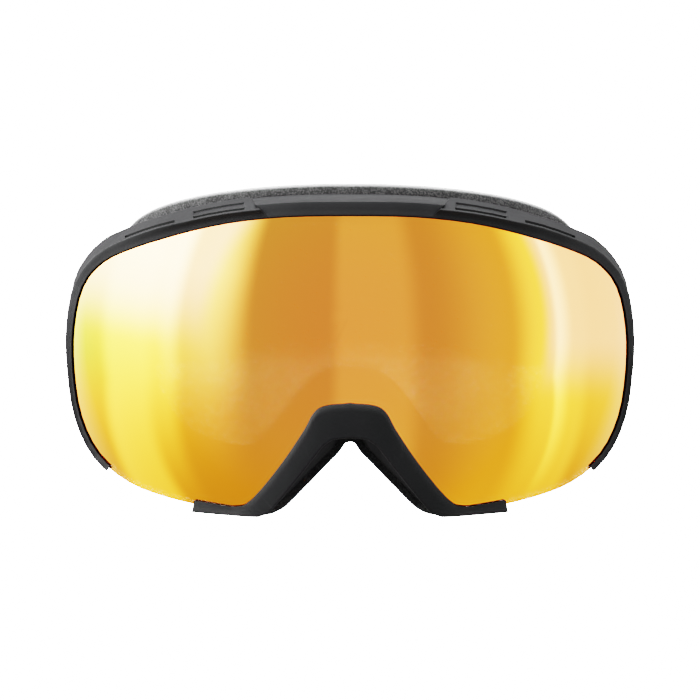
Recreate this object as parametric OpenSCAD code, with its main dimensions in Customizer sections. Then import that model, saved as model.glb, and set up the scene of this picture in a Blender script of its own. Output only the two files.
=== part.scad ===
// Ski goggles with a spherical double lens, a half-open rim, layered face foam,
// hinged strap arms and an elastic strap with two adjusters.
// X runs to the wearer's left, Y from the lens towards the face, Z up.
// The origin is where the brow foam meets the face, midway between the eyes.

/* [Lens] */
// Radius of the spherical outer lens
lens_radius = 108; // [106:1:112]
// Distance from the brow foam's face to the front of the lens
lens_reach = 50; // [49:0.5:52]
// Thickness of the outer lens
outer_lens_t = 1.4; // [1.0:0.1:1.6]
// Thickness of the inner lens
inner_lens_t = 0.8; // [0.6:0.1:1.0]
// Air gap between the two lenses
lens_gap = 3.2; // [2.6:0.1:3.6]

/* [Rim] */
// How far the rim's lip covers the front of the lens
lip_cover = 1.4; // [1.0:0.1:1.8]
// Radial thickness of the lip in front of the lens
lip_t = 2.1; // [1.6:0.1:2.6]
// Wall thickness of the rim arms
arm_wall = 1.6; // [1.2:0.1:1.8]

/* [Face seal] */
// Radius of the curved face, seen from above
face_radius = 100; // [96:1:106]
// Thickness of the firm foam that is glued to the frame
firm_foam_t = 7; // [5:0.5:9]
// Thickness of the soft foam on it
soft_foam_t = 9; // [7:0.5:11]
// Thickness of the fleece against the skin
fleece_t = 2; // [1:0.5:3]
// How far the foam stands out past the frame's flange
foam_overhang = 2.6; // [2.2:0.2:3]

/* [Strap] */
// Width of the elastic strap
strap_w = 40; // [36:1:42]
// Thickness of the strap
strap_t = 1.5; // [1.2:0.1:1.6]
// Where the strap's straight side ends, behind the brow
strap_side_end = 112; // [108:1:120]
// Depth of the curved back of the strap
strap_back_depth = 93; // [84:1:104]
// Where the adjuster sits on the strap, behind the brow
adjuster_y = 98; // [90:1:98]

/* [Strap arm] */
// Radius of the hinge pin
pin_r = 1.5; // [1.2:0.1:1.6]
// Distance of the hinge from the goggles' middle plane
hinge_x = 84; // [83.6:0.1:84.4]
// Distance of the hinge behind the brow
hinge_y = 17; // [16.5:0.5:17.5]

/* [Hidden] */

// Half outlines in X and Z, from the middle of the brow round to the middle of the nose.
lens_half = [
    [0, 42.9], [20, 42.5], [38, 40.4], [54, 36.6], [68, 31.8], [78.5, 26.4], [85.4, 18],
    [88.4, 5], [88.5, -9], [86.4, -24], [80.5, -36], [70, -43.9], [57, -47.9],
    [43.5, -50.1], [34.5, -50.7], [29, -47.3], [20, -35.8], [12.9, -24.9],
    [10.5, -20.3], [7.6, -18], [0, -17.3],
];
foam_half = [
    [0, 50], [20, 49.4], [38, 47.6], [54, 44.4], [66, 39.6], [73, 32.5], [76.3, 22],
    [77, 8], [76.5, -8], [74.5, -23], [69.5, -34], [62, -41], [53, -45.8],
    [44, -49], [36, -52], [29, -54.3], [22, -52.5], [14, -45.5],
    [8.5, -39.8], [4, -35.2], [0, -31.4],
];
eye_half = [
    [0, 29], [18, 28.8], [34, 28], [47, 26], [56, 22.4], [61, 17.5], [63.6, 11],
    [64.3, 4], [64, -5], [62, -14.5], [58.5, -22], [53.5, -27.6], [47.5, -31],
    [41, -33], [35.5, -33.8], [31, -33], [27, -30.2], [20.5, -21],
    [14, -13], [8, -9.3], [0, -8.5],
];
half_spans = len(lens_half) - 1;
spans = 2 * half_spans;
ring_steps = 3;                                // samples in each span of a closed ring

lens_centre_y = lens_radius - lens_reach;
lens_back = lens_radius - outer_lens_t;        // radius of the outer lens's back
inner_lens_front = lens_back - lens_gap;
groove_gap = 0.3;                              // room round the lens in the rim's groove
seat_r = lens_back - groove_gap;               // radius where the frame starts behind the lens
lip_r = lens_radius + groove_gap;
lip_edge_t = 0.6;                              // thin edge of the lip, over the lens
wall_out = 1.5;                                // frame wall's outside, in from the lens edge
wall_in = 3.8;                                 // frame wall's inside, in from the lens edge
gasket_out = 4.4;
gasket_w = 4.4;
bond = 0.1;                                    // film of glue on each face of the gasket

foam_t = firm_foam_t + soft_foam_t + fleece_t;
flange_t = 1.8;
glue = 0.3;                                    // film of glue between frame and foam
seam_u = 1.36;                                 // where the brow rim meets a rim arm
seam_gap_u = 0.02;
arm_end_u = 10.48;                             // lower end of a rim arm
brow_depth = 7;                                // depth of the frame's bend behind the lens edge
shelf_depth = 6.5;                             // depth of the rim's shelf behind the lens edge
shelf_least = 0.2;                             // least reach of the shelf's root past the edge
arm_depth = 11;

arm_bar_r = 2.2;                               // bar that the strap turns round
arm_bar_x = 81.8;
arm_bar_y = 40.5;
fit = 0.05;                                    // running clearance on the hinge pin
lug_h = 5;
knuckle_h = 22;
knuckle_r = 3;
strap_gap = 0.1;                               // between the strap and the bar it turns round
strap_in = arm_bar_x - arm_bar_r - strap_gap - strap_t;     // tail layer, inner face
strap_out = arm_bar_x + arm_bar_r + strap_gap;              // main layer, inner face
loop_bar_r = 1;
loop_bar_x = strap_in + strap_t + strap_gap + loop_bar_r;
adjuster_half = 8;
rail_h = 3.2;
rail_gap = 0.6;

// ---- outlines ----

function mirrored(half) =
    concat(half, [for (i = [len(half) - 2 : -1 : 1]) [-half[i].x, half[i].y]]);

lens_knots = mirrored(lens_half);
foam_knots = mirrored(foam_half);
eye_knots = mirrored(eye_half);

// A point of the smooth closed curve through the knots, where u counts spans from the brow.
function curve(knots, u) =
    let (n = len(knots), i = floor(u), t = u - i,
         a = knots[(i + n - 1) % n], b = knots[i % n],
         c = knots[(i + 1) % n], d = knots[(i + 2) % n])
    (2 * b + (c - a) * t + (2 * a - 5 * b + 4 * c - d) * t * t
        + (3 * b - a - 3 * c + d) * t * t * t) / 2;

// Unit normal of that curve, pointing out of the closed outline.
function outward(knots, u) =
    let (n = len(knots), d = curve(knots, (u + 0.05) % n) - curve(knots, (u + n - 0.05) % n))
    [-d.y, d.x] / norm(d);

function moved_out(knots, u, distance) = curve(knots, u) + distance * outward(knots, u);
function blend(a, b, t) = a * (1 - t) + b * t;
function ring_us() = [for (i = [0 : spans * ring_steps - 1]) i / ring_steps];
function span_us(u0, u1, count) = [for (i = [0 : count]) blend(u0, u1, i / count)];

// Depth of a sphere concentric with the lens, and of the curved face, at a place in X and Z.
function sphere_y(p, r) = lens_centre_y - sqrt(r * r - p.x * p.x - p.y * p.y);
function face_y(p) = face_radius - sqrt(face_radius * face_radius - p.x * p.x);
function at_y(p, y) = [p.x, y, p.y];
function at_r(p, r) = at_y(p, sphere_y(p, r));
function edge_y(u) = sphere_y(curve(lens_knots, u), lens_radius);

// ---- lofts ----

// Triangles between ring i and ring j, each of m points. The diagonals change hands halfway
// round, so that a layer's two faces are split alike and stacked layers meet without a gap.
function band(i, j, m) = [
    for (k = [0 : m - 1], f = [0, 1])
        let (a = i * m + k, b = i * m + (k + 1) % m, c = j * m + (k + 1) % m, d = j * m + k)
        k < m / 2 ? (f == 0 ? [a, b, d] : [b, c, d])
                  : (f == 0 ? [a, c, d] : [a, b, c])
];

// A closed ring through the sections, each a list of the same number of points.
module ring_loft(sections) {
    n = len(sections);
    m = len(sections[0]);
    polyhedron(points = [for (s = sections, p = s) p],
        faces = [for (i = [0 : n - 1], f = band(i, (i + 1) % n, m)) f], convexity = 8);
}

// A bar through the sections, closed at each end by the triangles in cap.
module bar_loft(sections, cap) {
    n = len(sections);
    m = len(sections[0]);
    last = (n - 1) * m;
    polyhedron(points = [for (s = sections, p = s) p],
        faces = concat([for (i = [0 : n - 2], f = band(i, i + 1, m)) f],
            [for (c = cap) [c[2], c[1], c[0]]],
            [for (c = cap) [c[0] + last, c[1] + last, c[2] + last]]), convexity = 8);
}
quad_cap = [[0, 1, 2], [0, 2, 3]];

// ---- solids cut from spheres ----

module along_y(y0, y1) translate([0, y1, 0]) rotate([90, 0, 0]) linear_extrude(y1 - y0) children();
module lens_ball(r) translate([0, lens_centre_y, 0]) sphere(r, $fn = 180);
module lens_shell(r_out, r_in) difference() {
    lens_ball(r_out);
    lens_ball(r_in);
}
module outline_2d(inset) polygon([for (u = ring_us()) moved_out(lens_knots, u, -inset)]);
front_y = -lens_reach - 20;
back_y = 40;

module outer_lens() color("goldenrod") intersection() {
    along_y(front_y, back_y) outline_2d(0);
    lens_shell(lens_radius, lens_back);
}

module inner_lens() color("wheat") intersection() {
    along_y(front_y, back_y) offset(r = -gasket_out, $fn = 48) outline_2d(0);
    lens_shell(inner_lens_front, inner_lens_front - inner_lens_t);
}

module lens_gasket() color("dimgray") intersection() {
    along_y(front_y, back_y) difference() {
        offset(r = -gasket_out, $fn = 48) outline_2d(0);
        offset(r = -gasket_out - gasket_w, $fn = 48) outline_2d(0);
    }
    lens_shell(lens_back - bond, inner_lens_front + bond);
}

// ---- frame ----

// The frame's wall runs from behind the lens edge to a flange that follows the face.
function wall_front(u, inset) = moved_out(lens_knots, u, -inset);
function flange_edge(u) = moved_out(foam_knots, u, -foam_overhang);
function flange_y(p) = face_y(p) - foam_t - glue;
function chassis_section(u) =
    let (out = wall_front(u, wall_out), in = wall_front(u, wall_in),
         edge = flange_edge(u), eye = curve(eye_knots, u),
         mid = blend(out, edge, 0.45), in_edge = blend(edge, eye, 0.16),
         bend_y = edge_y(u) + brow_depth)
    [at_r(out, seat_r), at_y(out, bend_y),
     at_y(mid, blend(bend_y, flange_y(edge), 0.45)), at_y(edge, flange_y(edge)),
     at_y(eye, flange_y(eye)), at_y(eye, flange_y(eye) - flange_t),
     at_y(in_edge, flange_y(in_edge) - flange_t),
     at_y(in, bend_y + 1), at_r(in, seat_r)];

// Middle of the wall, from its bend at t 0 to its flange at t 1.
function wall_mid(u, t) =
    let (front = wall_front(u, (wall_out + wall_in) / 2),
         back = blend(flange_edge(u), curve(eye_knots, u), 0.08))
    at_y(blend(front, back, t),
        blend(edge_y(u) + brow_depth + 0.5, flange_y(back) - 1, t));

// A strip in the wall between two heights, out to half its thickness on each side.
module wall_strip(u0, u1, t0, t1, half, count) bar_loft([for (u = span_us(u0, u1, count))
    let (n = outward(lens_knots, u), n3 = half * [n.x, 0, n.y])
    [wall_mid(u, t0) - n3, wall_mid(u, t0) + n3, wall_mid(u, t1) + n3, wall_mid(u, t1) - n3]],
    quad_cap);

top_vent = [1.95, 3.85];
low_vent = [11.0, 12.9];
nose_vent = [17.1, 19.3];
vent_t = [0.25, 0.75];
filter_half = 0.8;
module filter(vent) color("black")
    wall_strip(vent[0] + 0.03, vent[1] - 0.03, vent_t[0] + 0.03, vent_t[1] - 0.03, filter_half, 8);

module chassis_body() ring_loft([for (u = ring_us()) chassis_section(u)]);
module frame_chassis() color([0.16, 0.16, 0.17]) difference() {
    chassis_body();
    for (vent = [top_vent, low_vent, nose_vent], side = [0, 1])
        mirror([side, 0, 0]) wall_strip(vent[0], vent[1], vent_t[0], vent_t[1], 6, 8);
}

// ---- rim ----

// How far the rim's front and rear edges stand out from the lens edge, along an arm.
arm_front_out = [[1, 1.4], [2.7, 1.7], [3.3, 2.2], [4.5, 2.3], [5.4, 1.9], [7, 1.6], [8, 1.3], [10.5, 1.1]];
arm_rear_out = [[1, 5.2], [4.6, 5.2], [5.3, 4], [6.2, 2.6], [7.2, 2.4], [9, 2.1], [10.5, 1.6]];

function groove(u) =
    let (open = moved_out(lens_knots, u, groove_gap), lip = moved_out(lens_knots, u, -lip_cover))
    [at_r(open, lip_r), at_r(lip, lip_r),
     at_r(lip, lip_r + lip_edge_t)];

// Section of a rim arm: groove and lip, front face, flared outer wall and the shelf behind the lens.
function arm_section(u) =
    let (front = lookup(u, arm_front_out), rear = lookup(u, arm_rear_out),
         y = edge_y(u), shelf = moved_out(lens_knots, u, groove_gap - wall_out),
         open = moved_out(lens_knots, u, groove_gap))
    concat(groove(u), [
        at_r(moved_out(lens_knots, u, front), lip_r + lip_t),
        at_y(moved_out(lens_knots, u, rear), y + arm_depth),
        at_y(moved_out(lens_knots, u, rear - arm_wall), y + arm_depth),
        at_y(moved_out(lens_knots, u, max(front - arm_wall, shelf_least)), y + shelf_depth),
        at_y(shelf, y + shelf_depth), at_r(shelf, seat_r), at_r(open, seat_r)]);
rim_cap = [[0, 1, 2], [0, 2, 3], [0, 3, 9], [3, 4, 6], [4, 5, 6], [3, 6, 9], [6, 7, 9], [7, 8, 9]];

// The brow rim is lower than the arms, and its top reaches back over the frame's wall.
brow_top_depth = 17;
brow_front_out = 3;
brow_rear_out = 4.4;
brow_top_t = 0.8;
brow_corner_out = 1;
function brow_section(u) =
    let (y = edge_y(u), shelf = moved_out(lens_knots, u, groove_gap - wall_out),
         open = moved_out(lens_knots, u, groove_gap))
    concat(groove(u), [
        at_r(moved_out(lens_knots, u, brow_front_out), lip_r + lip_t),
        at_y(moved_out(lens_knots, u, brow_rear_out), y + brow_top_depth),
        at_y(moved_out(lens_knots, u, brow_rear_out - brow_top_t), y + brow_top_depth),
        at_y(moved_out(lens_knots, u, brow_corner_out), y + shelf_depth),
        at_y(shelf, y + shelf_depth), at_r(shelf, seat_r), at_r(open, seat_r)]);

// Air slots in the flare of each arm: a sunk panel with a deeper slit along its front.
slot_plans = [[2.11, 0.45, 0.66], [3.43, 0.52, 0.34]];      // place, half length and rear edge
slot_front = 0.1;                              // edges as shares from front to rear of the flare
slit_rear = 0.3;
panel_depth = 0.9;
slit_depth = 3.2;
module slot_cut(plan, rear_share, depth) bar_loft([for (u = span_us(plan[0] - plan[1], plan[0] + plan[1], 4))
    let (n = outward(lens_knots, u), n3 = [n.x, 0, n.y],
         front = at_r(moved_out(lens_knots, u, lookup(u, arm_front_out)), lip_r + lip_t),
         rear = at_y(moved_out(lens_knots, u, lookup(u, arm_rear_out)), edge_y(u) + arm_depth),
         a = blend(front, rear, slot_front), b = blend(front, rear, rear_share))
    [a - depth * n3, a + 2 * n3, b + 2 * n3, b - depth * n3]], quad_cap);

module rim_arm() color([0.17, 0.17, 0.18]) difference() {
    bar_loft([for (u = span_us(seam_u + seam_gap_u, arm_end_u, 30)) arm_section(u)], rim_cap);
    for (plan = slot_plans) {
        slot_cut(plan, plan[2], panel_depth);
        slot_cut(plan, slit_rear, slit_depth);
    }
}

module brow_rim() color([0.19, 0.19, 0.2])
    bar_loft([for (u = span_us(spans - seam_u, spans + seam_u, 16)) brow_section(u % spans)], rim_cap);

// Lower outline of the nose bridge, from the middle out to the end of its foot.
nose_low = [[0, -26.6], [5.4, -27], [8.4, -29.2], [13.5, -36.1], [21, -46], [25.2, -51.2],
    [28.5, -52.5], [32.5, -52.5], [48.7, -51.9], [49.7, -50.6]];
foot_u = 12.52;                                // outer end of the nose bridge's foot
bridge_depth = 2.2;                            // of the nose bridge behind the lens
overlap = 0.01;
module nose_outline() {
    low = concat([for (i = [len(nose_low) - 1 : -1 : 1]) [-nose_low[i].x, nose_low[i].y]], nose_low);
    polygon(concat(low, [for (u = span_us(foot_u, spans - foot_u, 52))
        moved_out(lens_knots, u, -lip_cover)]));
}
module nose_bridge() color([0.18, 0.18, 0.19]) difference() {
    intersection() {
        along_y(front_y, back_y) nose_outline();
        lens_shell(lip_r + lip_t, seat_r - bridge_depth);
    }
    intersection() {
        along_y(front_y, back_y) offset(r = groove_gap, $fn = 48) outline_2d(0);
        lens_shell(lip_r, seat_r);
    }
    intersection() {
        along_y(front_y, back_y) outline_2d(wall_out - groove_gap);
        lens_ball(seat_r + overlap);
    }
}

// ---- face seal ----

// A layer of the seal between two depths in front of the face.
module seal_layer(near, far) ring_loft([for (u = ring_us())
    let (out = curve(foam_knots, u), eye = curve(eye_knots, u))
    [at_y(out, face_y(out) - near), at_y(out, face_y(out) - far),
     at_y(eye, face_y(eye) - far), at_y(eye, face_y(eye) - near)]]);

module firm_face_foam() color("dimgray") seal_layer(foam_t, soft_foam_t + fleece_t);
module soft_face_foam() color("gray") seal_layer(soft_foam_t + fleece_t, fleece_t);
module fleece_lining() color("darkgray") seal_layer(fleece_t, 0);

// ---- hinge and strap arm ----

lug_z = knuckle_h / 2 + 0.3;                   // a lug's inner face
module pin_hole() translate([hinge_x, hinge_y, 0])
    cylinder(r = pin_r + fit, h = 60, center = true, $fn = 48);

// Plate against the frame's side wall, and two lugs that hold the pin, seen from above.
plate_plan = [[1.6, -11.8], [-6.6, -5], [-6.4, -2.8], [-4.4, -4.2], [1.2, -9.8]];
lug_plan = [[1.6, -11.8], [-6.6, -5], [-6.4, -2.8], [-3, 0], [3, 0], [3, -6], [1.2, -9.8]];
module bracket_body() difference() {
    translate([hinge_x, hinge_y, -lug_z - lug_h]) {
        linear_extrude(2 * (lug_z + lug_h)) polygon(plate_plan);
        for (z = [0, 2 * lug_z + lug_h]) translate([0, 0, z]) {
            linear_extrude(lug_h) polygon(lug_plan);
            cylinder(r = knuckle_r, h = lug_h, $fn = 48);
        }
    }
    pin_hole();
}
module hinge_bracket(side) color([0.14, 0.14, 0.15]) difference() {
    mirror([side, 0, 0]) bracket_body();
    chassis_body();
}

pin_reach = lug_z + lug_h;
module hinge_pin() color("silver") translate([hinge_x, hinge_y, 0]) {
    cylinder(r = pin_r, h = 2 * pin_reach, center = true, $fn = 48);
    translate([0, 0, pin_reach]) cylinder(r = pin_r + 0.8, h = 0.8, $fn = 48);
}

// Plate that spreads from the knuckle to the strap's width, with a slot and a round bar behind it.
arm_plate_t = 3;
slot_half = strap_w / 2 + 0.8;
arm_half = slot_half + 2.4;
arm_plan = [[hinge_y, 9], [hinge_y + 6, 13], [30, 21], [34, arm_half], [arm_bar_y, arm_half]];
module strap_arm() color([0.15, 0.15, 0.16]) difference() {
    union() {
        translate([hinge_x, hinge_y, 0])
            cylinder(r = knuckle_r, h = knuckle_h, center = true, $fn = 48);
        difference() {
            translate([arm_bar_x - arm_plate_t / 2, 0, 0]) rotate([90, 0, 90])
                linear_extrude(arm_plate_t) polygon(concat([for (p = arm_plan) [p.x, -p.y]],
                    [for (i = [len(arm_plan) - 1 : -1 : 0]) arm_plan[i]]));
            translate([arm_bar_x - 5, arm_bar_y - 7, -slot_half]) cube([10, 10, 2 * slot_half]);
        }
        translate([arm_bar_x, arm_bar_y, 0])
            cylinder(r = arm_bar_r, h = 2 * arm_half, center = true, $fn = 48);
    }
    pin_hole();
}

// ---- strap ----

module webbing(x, y0, y1) translate([x, y0, -strap_w / 2]) cube([strap_t, y1 - y0, strap_w]);

// Half a turn of webbing round an upright bar, opening towards -Y or +Y.
module half_turn(x, y, bar_r, facing) translate([x, y, -strap_w / 2]) rotate(facing < 0 ? 180 : 0)
    rotate_extrude(angle = 180, $fn = 64)
        translate([bar_r + strap_gap, 0]) square([strap_t, strap_w]);

module strap_side() color([0.13, 0.13, 0.14]) {
    half_turn(arm_bar_x, arm_bar_y, arm_bar_r, -1);
    webbing(strap_out, arm_bar_y, strap_side_end);
}

// The strap's returning end, from the arm's bar to the adjuster's bar.
module strap_tail() color([0.12, 0.12, 0.13]) webbing(strap_in, arm_bar_y, adjuster_y - 0.05);

module strap_loop() color([0.12, 0.12, 0.13]) {
    half_turn(loop_bar_x, adjuster_y, loop_bar_r, 1);
    webbing(loop_bar_x + loop_bar_r + strap_gap, adjuster_y - 12, adjuster_y);
}

// Three-bar adjuster: two front bars over the strap, rails past its edges and a bar behind it.
module adjuster() color([0.14, 0.14, 0.15]) {
    front_x = strap_out + strap_t + 0.25;
    rail_z = strap_w / 2 + rail_gap;
    for (side = [-1, 1]) {
        translate([front_x, adjuster_y + side * (adjuster_half - 1.5) - 1.5, -rail_z - 0.1])
            cube([1.8, 3, 2 * rail_z + 0.2]);
        translate([loop_bar_x - loop_bar_r, adjuster_y - adjuster_half, side > 0 ? rail_z : -rail_z - rail_h])
            cube([front_x + 1.8 - loop_bar_x + loop_bar_r, 2 * adjuster_half, rail_h]);
    }
    translate([loop_bar_x, adjuster_y, 0])
        cylinder(r = loop_bar_r, h = 2 * rail_z + 0.2, center = true, $fn = 48);
}

// The curved back of the strap: half an ellipse seen from above.
function back_point(angle, out) =
    [(strap_out + out) * cos(angle), strap_side_end + (strap_back_depth + out) * sin(angle)];
module back_band(inner, outer, height, a0, a1) translate([0, 0, -height / 2]) linear_extrude(height)
    polygon(concat([for (i = [0 : 48]) back_point(blend(a0, a1, i / 48), inner)],
        [for (i = [48 : -1 : 0]) back_point(blend(a0, a1, i / 48), outer)]));
module rear_strap() color([0.13, 0.13, 0.14]) back_band(0, strap_t, strap_w, 0, 180);
module silicone_grip() color("black") for (z = [-12, 0, 12])
    translate([0, 0, z]) back_band(-0.7, -0.1, 3, 25, 155);

// ---- nodes ----

module left() children();
module right() mirror([1, 0, 0]) children();

frame_chassis();
brow_rim();
left() rim_arm();  // left_rim_arm
right() rim_arm();  // right_rim_arm
nose_bridge();
outer_lens();
inner_lens();
lens_gasket();
left() filter(top_vent);  // left_top_filter
right() filter(top_vent);  // right_top_filter
left() filter(low_vent);  // left_low_filter
right() filter(low_vent);  // right_low_filter
left() filter(nose_vent);  // left_nose_filter
right() filter(nose_vent);  // right_nose_filter
firm_face_foam();
soft_face_foam();
fleece_lining();
hinge_bracket(0);  // left_hinge_bracket
hinge_bracket(1);  // right_hinge_bracket
left() hinge_pin();  // left_hinge_pin
right() hinge_pin();  // right_hinge_pin
left() strap_arm();  // left_strap_arm
right() strap_arm();  // right_strap_arm
left() strap_side();  // left_strap
right() strap_side();  // right_strap
left() strap_tail();  // left_strap_tail
right() strap_tail();  // right_strap_tail
left() strap_loop();  // left_strap_loop
right() strap_loop();  // right_strap_loop
left() adjuster();  // left_adjuster
right() adjuster();  // right_adjuster
rear_strap();
silicone_grip();
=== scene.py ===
import contextlib
import math

import bmesh
import bpy
import numpy as np
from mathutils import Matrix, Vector

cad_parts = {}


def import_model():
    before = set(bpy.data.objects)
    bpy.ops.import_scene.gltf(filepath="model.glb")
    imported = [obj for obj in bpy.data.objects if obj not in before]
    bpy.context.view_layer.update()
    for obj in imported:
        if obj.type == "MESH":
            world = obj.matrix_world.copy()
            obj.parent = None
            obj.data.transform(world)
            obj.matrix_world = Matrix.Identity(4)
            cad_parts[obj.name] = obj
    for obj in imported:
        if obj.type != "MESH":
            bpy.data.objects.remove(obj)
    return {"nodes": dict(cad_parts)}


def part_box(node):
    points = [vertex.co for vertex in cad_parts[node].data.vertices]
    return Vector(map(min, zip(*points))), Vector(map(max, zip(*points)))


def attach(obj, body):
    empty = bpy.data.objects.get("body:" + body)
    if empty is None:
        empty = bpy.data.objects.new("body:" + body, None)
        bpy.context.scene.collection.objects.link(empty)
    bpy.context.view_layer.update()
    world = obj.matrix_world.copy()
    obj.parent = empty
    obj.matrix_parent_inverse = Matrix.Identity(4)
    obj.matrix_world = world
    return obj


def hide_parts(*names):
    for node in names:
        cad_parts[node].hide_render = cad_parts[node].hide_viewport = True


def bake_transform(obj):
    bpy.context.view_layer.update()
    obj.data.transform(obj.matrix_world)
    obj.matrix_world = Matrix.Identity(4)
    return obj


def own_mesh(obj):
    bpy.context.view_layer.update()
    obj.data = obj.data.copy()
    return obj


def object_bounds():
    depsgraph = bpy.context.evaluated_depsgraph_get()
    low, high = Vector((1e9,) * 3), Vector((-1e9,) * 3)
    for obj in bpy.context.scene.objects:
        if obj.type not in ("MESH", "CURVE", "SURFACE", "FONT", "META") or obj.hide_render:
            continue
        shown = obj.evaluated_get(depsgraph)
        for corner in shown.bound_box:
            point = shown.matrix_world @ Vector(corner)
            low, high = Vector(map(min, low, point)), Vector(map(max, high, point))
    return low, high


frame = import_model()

# Ski goggles, in metres: +Y runs from the lens towards the face, +Z is up.
# Outlines, radii and places are measured on the CAD nodes, and every piece is built round them.

MM = 0.001
cad_low, cad_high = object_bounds()

HUB = np.array([0, 12]) * MM  # every outline is seen whole from here, in X and Z
NOSE_HUB = np.array([0, -75]) * MM  # the nose bridge spans an arc round this point
# degrees between faces, from which an edge looks sharp: on hard, soft and copied pieces
SHARP, SHARP_SOFT, SHARP_COPY = 35, 60, 50
MERGE = 1e-6  # points closer than this become one

# ---------------- measuring the frame

WALL_LEAN = 0.2  # how far along Y the normal of a side wall may lean
OUTLINE_STEP = 1.2 * MM  # outline points closer together than this are left out
BROW_CREST = 0.02 * MM  # how far an outline rises to its middle, at the brow
NOSE_CREST = 0.25 * MM  # and over the nose
OUTLINE_POINTS = 900


def vertices(node):
    return np.array([v.co for v in frame["nodes"][node].data.vertices])


def side_walls(node, facing):
    """Places in X and Z of the node's walls that run along Y and face out (1) or in (-1)."""
    mesh = frame["nodes"][node].data
    found = set()
    for face in mesh.polygons:
        if abs(face.normal.y) > WALL_LEAN:
            continue
        away = np.array([face.center.x, face.center.z]) - HUB
        if facing * (face.normal.x * away[0] + face.normal.z * away[1]) > 0:
            found |= {(round(mesh.vertices[i].co.x, 6), round(mesh.vertices[i].co.z, 6))
                      for i in face.vertices}
    return np.array(sorted(found))


def through(points, steps=8):
    """Points of a smooth open curve through the given ones."""
    before = 2 * points[0] - points[1]
    after = 2 * points[-1] - points[-2]
    p = np.vstack([before, points, after])
    t = np.arange(steps)[:, None] / steps
    a, b, c, d = (p[i:len(p) - 3 + i, None, :] for i in range(4))
    curve = (2 * b + (c - a) * t + (2 * a - 5 * b + 4 * c - d) * t ** 2
             + (3 * b - a - 3 * c + d) * t ** 3) / 2
    return np.vstack([curve.reshape(-1, 2), points[-1:]])


def distances(curve):
    """How far along a polyline each of its points lies."""
    return np.concatenate([[0], np.cumsum(np.linalg.norm(np.diff(curve, axis=0), axis=1))])


def sampled(curve, along, wanted):
    """Points of a polyline at the wanted distances, given the distance of each of its own."""
    return np.column_stack([np.interp(wanted, along, column) for column in curve.T])


def evenly(curve, count):
    """count points evenly spaced along a polyline."""
    along = distances(curve)
    return sampled(curve, along, np.linspace(0, along[-1], count))


def half_outline(node, facing):
    """The outline's half at X above 0, from the brow's middle round to the nose's middle."""
    walls = side_walls(node, facing)
    walls = walls[walls[:, 0] > 0.2 * MM]
    away = walls - HUB
    walls = walls[np.argsort(-np.arctan2(away[:, 1], away[:, 0]))]
    kept = [walls[0]]
    for p in walls[1:]:
        if np.linalg.norm(p - kept[-1]) > OUTLINE_STEP:
            kept.append(p)
    kept = np.array(kept)
    top = np.array([[0, kept[0, 1] + BROW_CREST]])
    bottom = np.array([[0, kept[-1, 1] + NOSE_CREST]])
    return evenly(through(np.vstack([top, kept, bottom])), OUTLINE_POINTS)


def left_of(curve):
    """Unit normals of a plane polyline, to its left."""
    d = np.gradient(curve, axis=0)
    d /= np.linalg.norm(d, axis=1)[:, None]
    return np.column_stack([-d[:, 1], d[:, 0]])


# the sphere of the lens and the cylinder of the face, from points far out on each
LENS_FAR_OUT = 80 * MM
FACE_FAR_OUT = 60 * MM
apex_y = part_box("outer_lens")[0].y
outer = vertices("outer_lens")
outer = outer[np.hypot(outer[:, 0], outer[:, 2]) > LENS_FAR_OUT]
out_squared = outer[:, 0] ** 2 + outer[:, 2] ** 2
LENS_R = ((out_squared + (outer[:, 1] - apex_y) ** 2) / (2 * (outer[:, 1] - apex_y))).max()
LENS_CENTRE_Y = apex_y + LENS_R
back = vertices("fleece_lining")
back = back[np.abs(back[:, 0]) > FACE_FAR_OUT]
FACE_R = ((back[:, 0] ** 2 + back[:, 1] ** 2) / (2 * back[:, 1])).min()

lens_half = half_outline("outer_lens", 1)
foam_half = half_outline("soft_face_foam", 1)
eye_half = half_outline("soft_face_foam", -1)

# The face foam's notch is a little higher than the CAD model's, and ends in a round point.
# Lifts and distances from the middle are in millimetres.
NOTCH_LIFT, NOTCH_HALF_W, NOTCH_FADE = 0.65, 20, 6
POINT_LIFT, POINT_HALF_W = 0.5, 3
aside = foam_half[:, 0] / MM
lift = (NOTCH_LIFT * np.clip((NOTCH_HALF_W - aside) / NOTCH_FADE, 0, 1)
        + POINT_LIFT * np.clip(1 - (aside / POINT_HALF_W) ** 2, 0, 1))
foam_half[:, 1] += np.where(foam_half[:, 1] < 0, lift, 0) * MM


def sphere_y(place, radius):
    """Depth of a sphere round the lens's centre, at places in X and Z."""
    return LENS_CENTRE_Y - np.sqrt(radius ** 2 - (place ** 2).sum(-1))


def face_y(place):
    """Depth of the face at places in X and Z."""
    return FACE_R - np.sqrt(FACE_R ** 2 - place[..., 0] ** 2)


def in_space(place, y):
    """Points at places in X and Z and at depths y."""
    return np.stack([place[..., 0], np.broadcast_to(y, place.shape[:-1]), place[..., 1]], -1)


def on_ball(place, radius):
    """Points at places in X and Z, on a sphere round the lens's centre."""
    return in_space(place, sphere_y(place, radius))


def ring(half, counts):
    """A closed outline with the given number of points from brow to widest, to lowest, to nose."""
    marks = [0, int(half[:, 0].argmax()), int(half[:, 1].argmin()), len(half) - 1]
    parts = [evenly(half[a:b + 1], n + 1)[:-1] for a, b, n in zip(marks, marks[1:], counts)]
    right = np.vstack(parts + [half[-1:]])
    left = right[-2:0:-1] * [-1, 1]
    return np.vstack([right, left])


# ---------------- building meshes


def placed(name, data):
    """An object with that data, in the scene."""
    made = bpy.data.objects.new(name, data)
    bpy.context.scene.collection.objects.link(made)
    return made


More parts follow.
